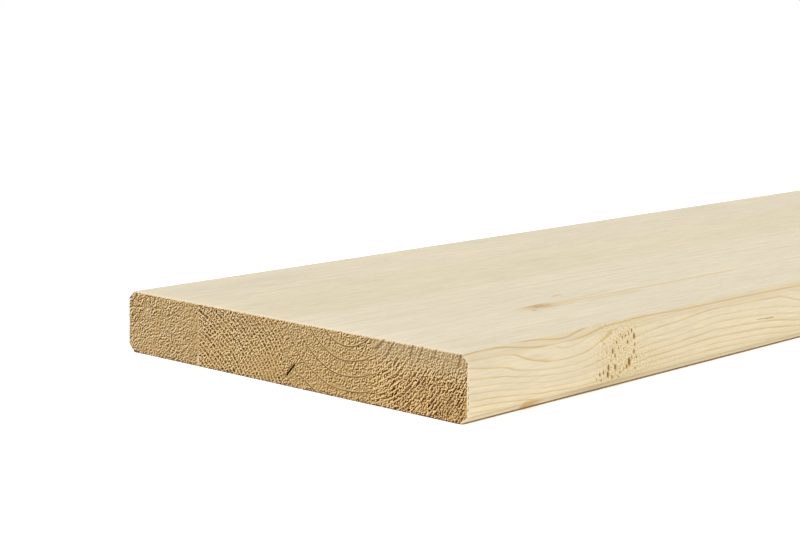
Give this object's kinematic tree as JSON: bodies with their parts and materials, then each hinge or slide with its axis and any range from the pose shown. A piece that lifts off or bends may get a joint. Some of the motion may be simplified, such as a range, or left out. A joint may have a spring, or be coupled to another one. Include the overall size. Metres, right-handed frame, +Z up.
{
  "type": "edge-glued wood panel",
  "caption": "Solid softwood shelf panel of full-length staves glued edge to edge, planed flush, with bevelled long arrises and rough-sawn ends.",
  "frame": {"origin": "middle of the underside, where the panel rests", "axes": "+X along the grain and the panel's length, +Y from the front edge to the back edge across the staves, +Z up through the thickness"},
  "size_m": [0.8, 0.2, 0.028],
  "materials": {
    "softwood": "planed and unfinished, with rough-sawn ends",
    "glue": "cured white wood glue"
  },
  "bodies": {
    "root": {"stave_front": "softwood", "stave_inner_front": "softwood", "stave_inner_back": "softwood", "stave_back": "softwood", "glue_line_front": "glue", "glue_line_middle": "glue", "glue_line_back": "glue"}
  },
  "joints": []
}
